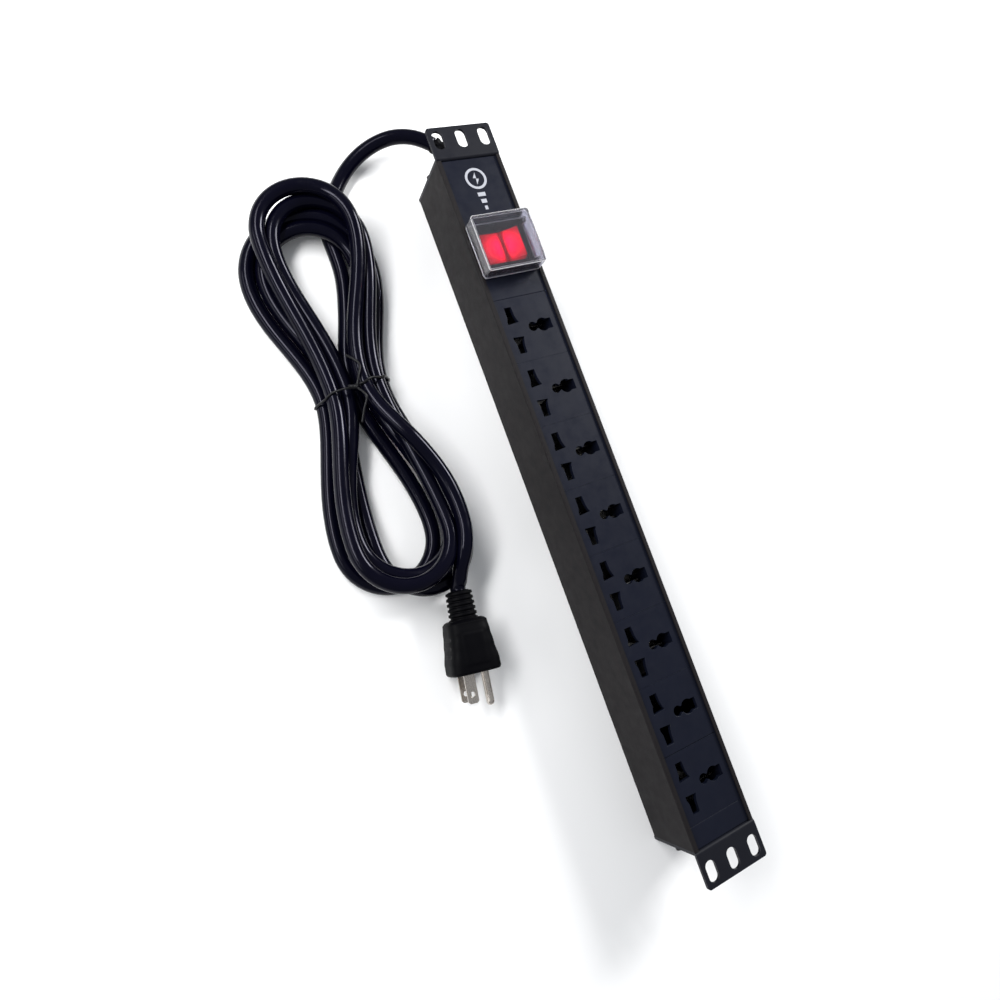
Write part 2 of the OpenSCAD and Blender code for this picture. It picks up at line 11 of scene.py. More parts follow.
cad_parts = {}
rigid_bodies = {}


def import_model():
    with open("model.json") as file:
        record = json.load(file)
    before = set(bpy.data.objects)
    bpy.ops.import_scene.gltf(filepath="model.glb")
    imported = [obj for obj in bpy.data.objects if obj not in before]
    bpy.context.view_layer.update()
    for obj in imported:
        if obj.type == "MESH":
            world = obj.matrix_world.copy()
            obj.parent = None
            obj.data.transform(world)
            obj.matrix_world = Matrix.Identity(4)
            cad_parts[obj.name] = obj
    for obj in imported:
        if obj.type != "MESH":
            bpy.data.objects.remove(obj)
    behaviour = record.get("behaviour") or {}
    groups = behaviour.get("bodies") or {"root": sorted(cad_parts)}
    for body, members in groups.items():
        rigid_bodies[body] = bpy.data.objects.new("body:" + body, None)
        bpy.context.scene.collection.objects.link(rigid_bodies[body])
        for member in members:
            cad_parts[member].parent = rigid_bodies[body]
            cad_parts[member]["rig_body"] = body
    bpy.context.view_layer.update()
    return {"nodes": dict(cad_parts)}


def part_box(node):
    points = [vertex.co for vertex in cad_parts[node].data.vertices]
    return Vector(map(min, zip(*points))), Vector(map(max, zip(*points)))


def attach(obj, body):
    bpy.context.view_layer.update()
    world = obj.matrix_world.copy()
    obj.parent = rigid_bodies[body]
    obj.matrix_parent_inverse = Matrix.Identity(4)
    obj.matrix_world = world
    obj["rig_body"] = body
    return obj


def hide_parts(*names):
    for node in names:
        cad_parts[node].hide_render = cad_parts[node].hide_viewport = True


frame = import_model()

MM = 0.001
NODES = frame["nodes"]

# ---------------------------------------------------------------- camera

CAMERA_PLACE = Vector((0.0251, -0.2210, 0.4303))
LOOK_AT = Vector((-0.0115, -0.0418, 0.0))
CAMERA_ROLL = math.radians(59.24)
SENSOR_WIDTH = 36
FOCAL_LENGTH = 26.32


def make_camera():
    data = bpy.data.cameras.new("camera")
    data.sensor_width = SENSOR_WIDTH
    data.lens = FOCAL_LENGTH
    data.clip_start = 0.01
    data.clip_end = 50
    camera = bpy.data.objects.new("camera", data)
    level = (LOOK_AT - CAMERA_PLACE).to_track_quat("-Z", "Y")
    turned = level @ Quaternion((0, 0, 1), CAMERA_ROLL)
    camera.matrix_world = Matrix.Translation(CAMERA_PLACE) @ turned.to_matrix().to_4x4()
    bpy.context.scene.collection.objects.link(camera)
    bpy.context.scene.camera = camera


make_camera()

# ---------------------------------------------------------------- the mains lead, in millimetres

# The lead is laid out in plan first, and then its heights are settled. The hank has its own
# plan coordinates: u runs along the strip and v across it, both from the hank's middle.

CORD_D = 9.4
CORD_R = CORD_D / 2
SQUASHED_D = 8.8  # between the centres of two runs that press on each other
STEP = 2.5  # from one point of the lead to the next
FLAT_POINTS = 12  # points after the route that lie flat whatever the tie does
LEAD_ROUTE = [
    (-244.6, -8.8, 22), (-252, -19, 21), (-256.5, -32, 17.5), (-255.5, -46, 12.5),
    (-250, -59, 8), (-241, -70, 5.2), (-230, -79, 4.8), (-219, -88, 4.8),
]

HANK_X, HANK_Y = -104.0, -111.0
HANK_ENTRY = [(-104, 18.6), (-88, 19.4), (-70, 18.9), (-45, 12.3), (-20, 3.4)]
# Each row: where the run passes the tie, where the fold starts and ends, and the fold's tip
PLUG_END_FOLDS = [
    (0.0, -18.8, 19.2, -38.2, 123.0),
    (18.8, -9.6, 37.4, -19.4, 131.0),
    (9.4, -4.7, 28.7, -28.7, 121.4),
    (14.1, -14.1, 23.9, -33.5, 126.0),
]
STRIP_END_FOLDS = [
    (-18.8, 18.8, -38.2, 38.2, -112.0),
    (-9.6, 9.4, -28.7, 28.7, -103.4),
    (-4.7, 14.1, -19.2, 35.5, -117.0),
    (-14.1, 4.7, -26.5, 30.5, -123.5),
]
LAST_RUN = (4.7, 32.5, 88)
OUTERMOST_V = 38

TIE_U = 4.0
TIE_LIFT = 1.4  # the tie passes under the runs and holds them off the surface
TIE_LIFT_REACH = 14
TIE_WIRE_R = 0.75

PLUG_AT = Vector((33.0, -92.5, 13.0))  # where the lead enters the plug's neck
PLUG_TURN = math.radians(-9)
PLUG_AXIS = Vector((math.cos(PLUG_TURN), math.sin(PLUG_TURN), 0))
PLUG_APPROACH = [
    (-16, -78.5), (-4, -79), (8, -82.5), (19, -88.2), (PLUG_AT.x - 3, PLUG_AT.y + 0.8),
]
POINTS_IN_NECK = 5
RELIEF_L = 17.0
PLUG_L = 31.0


def through(points, steps):
    """A smooth curve through all the points, with that many steps in each stretch."""
    p = [Vector(q) for q in points]
    out = []
    for i in range(len(p) - 1):
        a, b, c, d = p[max(i - 1, 0)], p[i], p[i + 1], p[min(i + 2, len(p) - 1)]
        for k in range(steps):
            t = k / steps
            out.append(
                0.5
                * (
                    2 * b + (c - a) * t + (2 * a - 5 * b + 4 * c - d) * t * t
                    + (3 * b - a - 3 * c + d) * t * t * t
                )
            )
    out.append(p[-1])
    return out


def through_plan(points, steps):
    """The same for (x, y) pairs."""
    return [(p.x, p.y) for p in through([(x, y, 0) for x, y in points], steps)]


def leg(v_tie, v_fold, u_fold, steps=24):
    """One run of the hank, from the tie to where its fold starts: (u, v) points.

    With lateness above 1 the run stays beside its neighbours for longer before it spreads.
    Towards the strip's end the inner runs spread last; towards the plug's end all spread early.
    """
    points = []
    lateness = 1.45 - 0.45 * abs(v_fold) / OUTERMOST_V if u_fold < 0 else 0.85
    for k in range(steps):
        t = k / steps
        share = (1 - math.cos(math.pi * t ** lateness)) / 2
        points.append((TIE_U + (u_fold - TIE_U) * t, v_tie + (v_fold - v_tie) * share))
    return points


def fold(v_from, v_to, tip, side, steps=30):
    """Half circle at one end of the hank, side +1 or -1 along u, from v_from to v_to."""
    radius = abs(v_from - v_to) / 2
    centre_u = tip - side * radius
    centre_v = (v_from + v_to) / 2
    start = math.copysign(math.pi / 2, v_from - v_to)
    return [
        (
            centre_u + side * radius * math.cos(start * (1 - 2 * k / steps)),
            centre_v + radius * math.sin(start * (1 - 2 * k / steps)),
        )
        for k in range(steps + 1)
    ]


def half_turn(tie_from, tie_to, v_from, v_to, tip, side):
    """From the tie round one fold and back to the tie."""
    u_fold = tip - side * abs(v_from - v_to) / 2
    out = leg(tie_from, v_from, u_fold)
    out += fold(v_from, v_to, tip, side)
    out += reversed(leg(tie_to, v_to, u_fold)[1:])
    return out


def hank_plan():
    """The turns of the hank and the run to the plug in plan, in order along the lead."""
    plan = through_plan(HANK_ENTRY, 6)
    for plug_end, strip_end in zip(PLUG_END_FOLDS, STRIP_END_FOLDS):
        plan += half_turn(*plug_end, 1)
        plan += half_turn(*strip_end, -1)
    plan += leg(*LAST_RUN)
    plan = [(HANK_X + u, HANK_Y + v) for u, v in plan]
    return plan + through_plan(PLUG_APPROACH, 5)


def along_line(points):
    """How far along the polyline each of its points is."""
    return np.concatenate([[0], np.cumsum(np.linalg.norm(np.diff(points, axis=0), axis=1))])


def resampled(points, step):
    """The same polyline with its points a fixed step apart."""
    p = np.array(points, float)
    s = along_line(p)
    count = int(round(s[-1] / step)) + 1
    t = np.linspace(0, s[-1], count)
    return np.stack([np.interp(t, s, p[:, k]) for k in range(p.shape[1])], axis=1)


def smoothed(values, passes, fixed=1):
    """Averages each point with its neighbours; that many points at each end stay."""
    v = values.copy()
    for _ in range(passes):
        before = v[fixed - 1:-fixed - 1]
        after = v[fixed + 1:len(v) - fixed + 1]
        v[fixed:-fixed] = (before + 2 * v[fixed:-fixed] + after) / 4
    return v


# In each round of settling, a point that nothing holds up sinks by this much
FAST_ROUNDS, FAST_SINK = 300, 0.06
SLOW_ROUNDS, SLOW_SINK = 120, 0.01
CROSSING_AFTER = 4 * CORD_D  # points nearer than this along the lead can't cross each other
NOT_TOUCHING = -1e3


def settle(plan, low, z_start, z_end, held):
    """Heights that keep every later run on top of the runs that it crosses.

    The first points, as many as held, keep the heights z_start. The last one keeps z_end.
    """
    step = float(np.linalg.norm(plan[1] - plan[0]))
    gap = np.linalg.norm(plan[:, None, :] - plan[None, :, :], axis=2)
    order = np.arange(len(plan))
    later = (order[:, None] - order[None, :]) * step > CROSSING_AFTER
    touch = later & (gap < SQUASHED_D)
    rise = np.where(touch, np.sqrt(np.maximum(SQUASHED_D ** 2 - gap ** 2, 0)), NOT_TOUCHING)
    z = low.copy()
    z[:held] = z_start
    z[-1] = z_end
    for sink in [FAST_SINK] * FAST_ROUNDS + [SLOW_SINK] * SLOW_ROUNDS:
        bound = np.maximum(low, (z[None, :] + rise).max(axis=1))
        calm = smoothed(z, 6)
        z = np.maximum(bound, calm - sink)
        z[:held] = z_start
        z[-1] = z_end
    return z


def cord_path():
    """Every point of the lead, from the boot's tip to inside the plug's neck."""
    lead = np.array([tuple(p) for p in through(LEAD_ROUTE, 8)])
    plan = resampled([tuple(p[:2]) for p in lead[:-1]] + hank_plan(), STEP)
    plan = resampled(smoothed(plan, 10, 2), STEP)
    lead_s = along_line(lead[:, :2])
    held = int(lead_s[-1] / STEP)
    z_lead = np.interp(np.arange(held) * STEP, lead_s, lead[:, 2])
    u = plan[:, 0] - HANK_X - TIE_U
    low = CORD_R + TIE_LIFT * np.exp(-((u / TIE_LIFT_REACH) ** 2))
    low[:held + FLAT_POINTS] = CORD_R
    z = settle(plan, low, z_lead, PLUG_AT.z, held)
    z[held:] = smoothed(z[held - 3:], 6, 2)[3:]
    path = [Vector((x, y, h)) for (x, y), h in zip(plan, z)]
    return path + [PLUG_AT + PLUG_AXIS * (k * STEP) for k in range(POINTS_IN_NECK)]


def frames(path):
    """A pair of sideways directions at each point, carried along without twist."""
    last = len(path) - 1
    heads = [
        (path[min(i + 1, last)] - path[max(i - 1, 0)]).normalized() for i in range(len(path))
    ]
    side = heads[0].orthogonal().normalized()
    out = []
    for i, head in enumerate(heads):
        if i:
            side = heads[i - 1].rotation_difference(head) @ side
        side = (side - head * side.dot(head)).normalized()
        out.append((side, head.cross(side)))
    return out


def mesh_object(name, verts, faces):
    """A smooth-shaded object from points in millimetres."""
    mesh = bpy.data.meshes.new(name)
    mesh.from_pydata([tuple(v * MM for v in p) for p in verts], [], faces)
    mesh.validate()
    mesh.polygons.foreach_set("use_smooth", [True] * len(mesh.polygons))
    mesh.update()
    made = bpy.data.objects.new(name, mesh)
    bpy.context.scene.collection.objects.link(made)
    return made


def loft(name, rings):
    """A closed skin over rings of equal numbers of points."""
    count = len(rings[0])
    verts = [p for ring in rings for p in ring]
    faces = []
    for i in range(len(rings) - 1):
        for k in range(count):
            a, b = i * count + k, i * count + (k + 1) % count
            faces.append((a, b, b + count, a + count))
    faces.append(tuple(reversed(range(count))))
    faces.append(tuple(range(len(verts) - count, len(verts))))
    return mesh_object(name, verts, faces)


def tube(name, path, radius, sides):
    """A closed tube round the path. radius is a function of (index, angle)."""
    rings = []
    for i, (point, (side, up)) in enumerate(zip(path, frames(path))):
        angles = [2 * math.pi * k / sides for k in range(sides)]
        rings.append(
            [point + (side * math.cos(a) + up * math.sin(a)) * radius(i, a) for a in angles])
    return loft(name, rings)


# ---------------------------------------------------------------- materials

# A colour Mix node has its colour sockets at these places
MIX_A, MIX_B, MIX_RESULT = 6, 7, 2


class Shade:
    """A node material with one principled shader, and short ways to add nodes to it."""

    def __init__(self, name):
        self.material = bpy.data.materials.new(name)
        self.material.use_nodes = True
        self.tree = self.material.node_tree
        self.shader = self.tree.nodes["Principled BSDF"]
        self.coords = self.node("ShaderNodeTexCoord").outputs["Object"]

    def node(self, kind, **values):
        made = self.tree.nodes.new(kind)
        for key, value in values.items():
            setattr(made, key, value)
        return made

    def link(self, output, socket):
        self.tree.links.new(output, socket)

    def feed(self, output, name):
        """Links an output to one of the shader's own sockets."""
        self.link(output, self.shader.inputs[name])

    def noise(self, scale, detail=3.0, roughness=0.5, stretch=None):
        """A noise of that many features to a metre, from 0 to 1."""
        made = self.node("ShaderNodeTexNoise")
        made.inputs["Scale"].default_value = scale
        made.inputs["Detail"].default_value = detail
        made.inputs["Roughness"].default_value = roughness
        source = self.coords
        if stretch:
            mapping = self.node("ShaderNodeMapping")
            mapping.inputs["Scale"].default_value = stretch
            self.link(source, mapping.inputs["Vector"])
            source = mapping.outputs["Vector"]
        self.link(source, made.inputs["Vector"])
        return made.outputs["Fac"]

    def ranged(self, value, low, high, to_low, to_high):
        made = self.node("ShaderNodeMapRange", clamp=True)
        limits = {"From Min": low, "From Max": high, "To Min": to_low, "To Max": to_high}
        for socket, number in limits.items():
            made.inputs[socket].default_value = number
        self.link(value, made.inputs["Value"])
        return made.outputs["Result"]

    def maths(self, operation, a, b):
        made = self.node("ShaderNodeMath", operation=operation)
        for socket, value in zip(made.inputs, (a, b)):
            if isinstance(value, (int, float)):
                socket.default_value = value
            else:
                self.link(value, socket)
        return made.outputs["Value"]

    def mixed(self, share, a, b):
        """Colour a where the share is 0, and b where it is 1."""
        made = self.node("ShaderNodeMix", data_type="RGBA")
        self.link(share, made.inputs["Factor"])
        for place, value in ((MIX_A, a), (MIX_B, b)):
            if isinstance(value, tuple):
                made.inputs[place].default_value = (*value, 1)
            else:
                self.link(value, made.inputs[place])
        return made.outputs[MIX_RESULT]

    def edges(self, radius, low=0.002, high=0.12):
        """1 on sharp edges, 0 on flat ground."""
        bevel = self.node("ShaderNodeBevel", samples=4)
        bevel.inputs["Radius"].default_value = radius
        dot = self.node("ShaderNodeVectorMath", operation="DOT_PRODUCT")
        self.link(bevel.outputs["Normal"], dot.inputs[0])
        self.link(self.node("ShaderNodeNewGeometry").outputs["Normal"], dot.inputs[1])
        return self.ranged(dot.outputs["Value"], 1 - high, 1 - low, 1, 0)

    def set(self, **values):
        for key, value in values.items():
            name = key.replace("_", " ").title().replace("Ior", "IOR")
            self.shader.inputs[name].default_value = value

    def bump(self, height, distance):
        made = self.node("ShaderNodeBump")
        made.inputs["Strength"].default_value = 1
        made.inputs["Distance"].default_value = distance
        self.link(height, made.inputs["Height"])
        self.feed(made.outputs["Normal"], "Normal")


def scaled(colour, factor):
    return tuple(min(1.0, c * factor) for c in colour)


def surface(
    name, colour, rough, metal=0.0, blotch=0.15, blotch_scale=45, spread=0.06, grain=900,
    depth=0.00002, worn=None, worn_width=0.0004, worn_share=0.5, scratch=0.0,
    stretch=(1, 12, 12), **sockets,
):
    """A finish with uneven colour and gloss, a fine grain, fine scratches and rubbed edges."""
    made = Shade(name)
    cloud = made.noise(blotch_scale, 4)
    base = made.mixed(cloud, scaled(colour, 1 - blotch), scaled(colour, 1 + blotch))
    uneven = made.noise(blotch_scale * 3.3, 5, 0.6)
    gloss = made.ranged(uneven, 0.3, 0.7, rough - spread, rough + spread)
    if scratch:
        lines = made.noise(220, 6, 0.7, stretch)
        gloss = made.maths("ADD", gloss, made.ranged(lines, 0.5, 0.75, 0, scratch))
    if worn:
        edge = made.edges(worn_width)
        patches = made.ranged(made.noise(260, 4, 0.7), 0.42, 0.62, 0, worn_share)
        base = made.mixed(made.maths("MULTIPLY", edge, patches), base, worn)
    made.feed(base, "Base Color")
    made.feed(gloss, "Roughness")
    made.set(metallic=metal, **sockets)
    made.bump(made.noise(grain, 3, 0.6), depth)
    return made.material


def glowing_red():
    """Two lit halves, bright in the middle of each, with a dark line between them."""
    made = Shade("lit_red_lens")
    place = made.node("ShaderNodeSeparateXYZ")
    made.link(made.coords, place.inputs["Vector"])
    switch_x = sum(c.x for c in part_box("rocker")) / 2
    off_x = made.maths("SUBTRACT", place.outputs["X"], switch_x)
    off_x = made.maths("ABSOLUTE", off_x, 0)
    off_y = made.maths("ABSOLUTE", place.outputs["Y"], 0)
    near_x = made.ranged(off_x, 0.003, 0.0115, 1, 0.12)
    near_y = made.ranged(off_y, 0.004, 0.0150, 1, 0.2)
    seam = made.ranged(off_y, 0.0004, 0.0026, 0.05, 1)
    cloud = made.ranged(made.noise(140, 2), 0.3, 0.7, 0.85, 1.1)
    lit = made.maths("MULTIPLY", near_x, near_y)
    lit = made.maths("MULTIPLY", lit, seam)
    lit = made.maths("MULTIPLY", lit, cloud)
    made.set(base_color=(0.35, 0.003, 0.012, 1), roughness=0.3, specular_ior_level=0.15)
    made.feed(made.mixed(lit, (0.25, 0.0, 0.004), (1.0, 0.0, 0.03)), "Emission Color")
    made.feed(made.ranged(lit, 0, 1, 0.3, 5.0), "Emission Strength")
    made.bump(made.noise(500, 2), 0.00001)
    return made.material


def clear_plastic():
    """A clear moulding, slightly cloudy, with painted highlights along its edges: its rims are
    whiter and less clear, standing in for light caught inside them.
    """
    made = Shade("clear_polycarbonate")
    made.set(ior=1.45, specular_ior_level=0.3)
    # Painted highlight: whiter, less clear rims stand in for light caught in the edges of the
    # moulding.
    painted_rim_highlight = made.edges(0.0010, 0.01, 0.2)
    made.feed(made.mixed(painted_rim_highlight, (0.62, 0.62, 0.69), (1.0, 1.0, 1.0)), "Base Color")
    made.feed(made.ranged(painted_rim_highlight, 0, 1, 0.985, 0.15), "Transmission Weight")
    cloud = made.ranged(made.noise(70, 4), 0.35, 0.7, 0.09, 0.14)
    lines = made.ranged(made.noise(260, 6, 0.7, (10, 1, 10)), 0.55, 0.75, 0, 0.03)
    made.feed(made.maths("ADD", cloud, lines), "Roughness")
    made.bump(made.noise(120, 2), 0.000003)
    return made.material


FINISHES = {
    "channel_paint": surface(
        "channel_powder_coat", (0.0112, 0.0098, 0.0106), 0.55, grain=2300, depth=0.00003,
        worn=(0.032, 0.030, 0.035), worn_share=0.3, scratch=0.08, specular_ior_level=0.1),
    "ear_paint": surface(
        "ear_satin_paint", (0.0050, 0.0055, 0.0095), 0.42, grain=2600, depth=0.00002,
        worn=(0.10, 0.105, 0.12), worn_share=0.5, scratch=0.10, specular_ior_level=0.21),
    "black_steel": surface(
        "black_oxide_steel", (0.03, 0.03, 0.032), 0.35, 0.9, worn=(0.3, 0.3, 0.32)),
    "module_plastic": surface(
        "module_moulding", (0.0040, 0.0053, 0.0125), 0.40, grain=3200, depth=0.000016,
        spread=0.07, worn=(0.035, 0.042, 0.058), worn_width=0.0005, worn_share=0.25,
        scratch=0.05, specular_ior_level=0.165),
    "white_ink": surface(
        "white_screen_ink", (0.35, 0.36, 0.40), 0.55, blotch=0.04, blotch_scale=600,
        grain=5000),
    "back_plastic": surface("back_moulding", (0.05, 0.05, 0.052), 0.55, grain=1500),
    # Painted shade: the plating is darker than bare plated metal, standing in for the shade inside
    # the strip where the contacts, busbars and terminals sit.
    "contact_brass": surface(
        "contact_plating_painted_dark", (0.30, 0.29, 0.28), 0.25, 1.0, scratch=0.18,
        worn=(0.8, 0.74, 0.6), blotch=0.1),
    "switch_plastic": surface(
        "switch_moulding", (0.014, 0.014, 0.016), 0.32, grain=2500, worn=(0.06, 0.06, 0.065)),
    "red_lens": glowing_red(),
    "spring_steel": surface("plain_steel", (0.6, 0.6, 0.62), 0.3, 1.0, scratch=0.15),
    "lamp_glass": surface("neon_lamp_glass", (1.0, 0.5, 0.35), 0.08, transmission_weight=0.8),
    "clear_plastic": clear_plastic(),
    "sleeve_red": surface("sleeve_vinyl", (0.62, 0.05, 0.04), 0.4),
    "core_brown": surface("core_brown", (0.2, 0.08, 0.035), 0.38),
    "core_blue": surface("core_blue", (0.05, 0.16, 0.5), 0.38),
    "core_green": surface("core_green", (0.2, 0.42, 0.05), 0.38),
    "lead_pvc": surface(
        "lead_pvc", (0.0010, 0.0010, 0.0042), 0.16, blotch=0.25, blotch_scale=30, spread=0.07,
        grain=260, depth=0.00001, scratch=0.04, specular_ior_level=0.12,
        specular_tint=(0.84, 0.83, 1.0, 1)),
    "gland_pvc": surface(
        "gland_pvc", (0.0008, 0.0008, 0.0015), 0.5, grain=1600, depth=0.00004,
        worn=(0.006, 0.006, 0.008), specular_ior_level=0.05),
    "tie_wire": surface(
        "tie_coating", (0.002, 0.002, 0.003), 0.35, grain=1500, specular_ior_level=0.2),
    "blade_metal": surface(
        "nickel_plate", (0.50, 0.46, 0.42), 0.24, 1.0, blotch=0.08, scratch=0.2,
        stretch=(1, 30, 30), worn=(0.9, 0.72, 0.45), worn_share=0.4),
}
SOCKETS = [f"socket_{i}" for i in range(1, 9)]
NODE_FINISHES = {
    "channel_paint": ["housing"],
    "ear_paint": ["ear_bracket_cord_end", "ear_bracket_far_end"],
    "black_steel": ["end_screws"],
    "module_plastic": ["switch_panel", "end_filler"] + SOCKETS,
    "white_ink": ["printed_mark"],
    "back_plastic": ["socket_backs"],
    "contact_brass": [
        "live_busbar", "neutral_busbar", "earth_busbar", "contact_levers",
        "switch_feed_terminals", "switch_load_terminals"],
    "switch_plastic": ["switch_body", "rocker_plungers", "lid_frame"],
    "red_lens": ["rocker"],
    "spring_steel": [
        "plunger_springs", "lid_hinge_pin", "earth_stud", "earth_nut", "earth_rings"],
    "lamp_glass": ["switch_lamp"],
    "clear_plastic": ["clear_lid"],
    "sleeve_red": ["crimp_sleeves"],
    "core_brown": ["feed_live_wire", "load_live_wire"],
    "core_blue": ["feed_neutral_wire", "load_neutral_wire"],
    "core_green": ["feed_earth_wire", "bond_wire"],
    "lead_pvc": ["inner_sheath", "cord_lead", "cord_hank"],
    "gland_pvc": ["cord_gland", "plug_relief", "plug_body"],
    "tie_wire": ["hank_tie"],
    "blade_metal": ["plug_live_blade", "plug_neutral_blade", "plug_earth_pin"],
}
SLOT_OF = {node: slot for slot, members in NODE_FINISHES.items() for node in members}


def paint(piece, slot):
    piece.data.materials.clear()
    piece.data.materials.append(FINISHES[slot])


for node, slot in SLOT_OF.items():
    paint(NODES[node], slot)

# ---------------------------------------------------------------- rigid pieces with softened edges

MERGE_DISTANCE = 0.00001
FLAT_ANGLE = math.radians(0.6)  # faces that meet within this are one flat face
SHARP_ANGLE = math.radians(32)  # edges sharper than this are rounded
BEVEL_SEGMENTS = 2
FLAT_FACE_WEIGHT = 100  # large flat faces keep their own shading


def softened(node, width):
    """A copy of a CAD node with its sharp edges rounded, which stands for the node."""
    source = NODES[node]
    mesh = source.data.copy()
    work = bmesh.new()
    work.from_mesh(mesh)
    bmesh.ops.remove_doubles(work, verts=work.verts, dist=MERGE_DISTANCE)
    bmesh.ops.dissolve_limit(
        work, angle_limit=FLAT_ANGLE, verts=work.verts, edges=work.edges, delimit={"NORMAL"})
    bmesh.ops.recalc_face_normals(work, faces=work.faces)
    work.to_mesh(mesh)
    work.free()
    for layer in [a for a in mesh.attributes if a.name == "custom_normal"]:
        mesh.attributes.remove(layer)
    for edge in mesh.edges:
        edge.use_edge_sharp = False
    mesh.name = node + "_soft"
    piece = bpy.data.objects.new(node + "_shell", mesh)
    bpy.context.scene.collection.objects.link(piece)
    bevel = piece.modifiers.new("bevel", "BEVEL")
    bevel.width = width * MM
    bevel.segments = BEVEL_SEGMENTS
    bevel.limit_method = "ANGLE"
    bevel.angle_limit = SHARP_ANGLE
    bevel.use_clamp_overlap = True
    even = piece.modifiers.new("even", "WEIGHTED_NORMAL")
    even.weight = FLAT_FACE_WEIGHT
    mesh.polygons.foreach_set("use_smooth", [True] * len(mesh.polygons))
    apply_modifiers(piece)
    paint(piece, SLOT_OF[node])
    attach(piece, source["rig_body"])
    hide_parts(node)


def apply_modifiers(piece):
    graph = bpy.context.evaluated_depsgraph_get()
    final = bpy.data.meshes.new_from_object(piece.evaluated_get(graph))
    piece.modifiers.clear()
    piece.data = final


SOFTENED = {
    "housing": 0.35, "ear_bracket_cord_end": 0.35, "ear_bracket_far_end": 0.35,
    "switch_panel": 0.4, "end_filler": 0.4, "lid_frame": 0.25, "clear_lid": 0.45,
    "rocker": 0.5, "end_screws": 0.2, "plug_live_blade": 0.25, "plug_neutral_blade": 0.25,
    **{socket: 0.45 for socket in SOCKETS},
}
for node, width in SOFTENED.items():
    softened(node, width)

# ---------------------------------------------------------------- the lead, its plug and its tie

SPIRAL_PITCH = 190
TUBE_SIDES = 24

cord_line = cord_path()


def sheath_radius(i, angle):
    """The cores inside lift the sheath a little along three slow spirals."""
    turned = 3 * angle - i * STEP * 2 * math.pi / SPIRAL_PITCH
    return CORD_R * (0.996 + 0.004 * math.cos(turned))


cord = tube("mains_lead", cord_line, sheath_radius, TUBE_SIDES)


def on_plug(along, across, up):
    """A point on the plug: along its axis from where the lead enters, across it, and up."""
    side = Vector((-PLUG_AXIS.y, PLUG_AXIS.x, 0))
    return PLUG_AT + PLUG_AXIS * along + side * across + Vector((0, 0, up))


def rounded_ring(along, half_across, half_up, power, count, detail=None):
    """A rounded rectangle across the plug's axis. The higher the power, the squarer it is."""
    ring = []
    for k in range(count):
        angle = 2 * math.pi * k / count
        c, s = math.cos(angle), math.sin(angle)
        across = math.copysign(abs(c) ** (2 / power), c) * half_across
        up = math.copysign(abs(s) ** (2 / power), s) * half_up
        if detail:
            across, up = detail(along, across, up)
        ring.append(on_plug(along, across, up))
    return ring


def eased(t):
    """0 below 0, 1 above 1, and a smooth rise between them."""
    t = min(1.0, max(0.0, t))
    return t * t * (3 - 2 * t)


def between_stations(stations, x):
    for (x0, *a), (x1, *b) in zip(stations, stations[1:]):
        if x <= x1:
            t = (x - x0) / (x1 - x0)
            return [p + (q - p) * eased(t) for p, q in zip(a, b)]
    return list(stations[-1][1:])


# Each row: distance along the plug, half its size across, half its height, and the power
PLUG_STATIONS = [
    (17.0, 10.0, 8.4, 3.0), (17.7, 11.3, 10.0, 3.6), (19.0, 12.1, 11.3, 4.2),
    (25.0, 12.6, 12.2, 4.4), (33.0, 13.5, 12.5, 4.6), (42.0, 14.9, 12.6, 4.8),
    (46.5, 15.0, 12.55, 4.8), (47.5, 14.6, 12.1, 4.8), (48.0, 13.9, 11.4, 4.8),
]
# The end face steps in a little and then back: each row is its share of the last ring, and along
PLUG_END_RINGS = [(0.9, 48.0), (0.82, 47.6), (0.3, 47.6)]
PLUG_BODY_RINGS, PLUG_BODY_SIDES = 90, 96

PANEL_FROM, PANEL_TO, PANEL_HALF = 24, 44, 7.2
PANEL_RISE = 0.35
GRIP_FROM, GRIP_TO = 26, 40.4
GRIP_WIDTH, GRIP_HALF, GRIP_DEPTH = 2.4, 8.5, 0.55


def plug_detail(along, across, up):
    """A thumb panel on the two wide faces, and grip grooves down both sides."""
    panel = eased((along - PANEL_FROM) / 2) * eased((PANEL_TO - along) / 2)
    panel *= eased((PANEL_HALF - abs(across)) / 1.4)
    up += math.copysign(PANEL_RISE * panel, up)
    if GRIP_FROM < along < GRIP_TO and abs(up) < GRIP_HALF:
        groove = max(0.0, math.sin((along - GRIP_FROM) * math.pi / GRIP_WIDTH))
        depth = GRIP_DEPTH * groove * eased((GRIP_HALF - abs(up)) / 3)
        across -= math.copysign(depth, across)
    return across, up


def make_plug_body():
    rings = []
    for k in range(PLUG_BODY_RINGS):
        along = RELIEF_L + PLUG_L * k / (PLUG_BODY_RINGS - 1)
        half_across, half_up, power = between_stations(PLUG_STATIONS, along)
        rings.append(
            rounded_ring(along, half_across, half_up, power, PLUG_BODY_SIDES, plug_detail))
    half_across, half_up, power = PLUG_STATIONS[-1][1:]
    for share, along in PLUG_END_RINGS:
        rings.append(
            rounded_ring(along, half_across * share, half_up * share, power, PLUG_BODY_SIDES))
    return loft("plug_moulding", rings)


RIB_PITCH, RIB_HEIGHT, FIRST_RIB = 3.1, 1.1, 1.6
RELIEF_RINGS, RELIEF_SIDES = 110, 40
RELIEF_INTO_BODY = 0.6


def relief_radius(along):
    """Ribs on a taper, as the flexible neck of a moulded plug has."""
    base = 6.7 + 0.8 * along / RELIEF_L
    rib = 0.5 + 0.5 * math.cos((along - FIRST_RIB) * 2 * math.pi / RIB_PITCH)
    rounded_start = 0.88 + 0.12 * eased(along / 0.8)
    return (base + RIB_HEIGHT * eased(rib * 1.5)) * rounded_start


def make_relief():
    rings = []
    for k in range(RELIEF_RINGS):
        along = (RELIEF_L + RELIEF_INTO_BODY) * k / (RELIEF_RINGS - 1)
        r = relief_radius(along)
        rings.append(rounded_ring(along, r, r * 0.96, 2.2, RELIEF_SIDES))
    return loft("plug_neck", rings)


plug_body = make_plug_body()
plug_relief = make_relief()


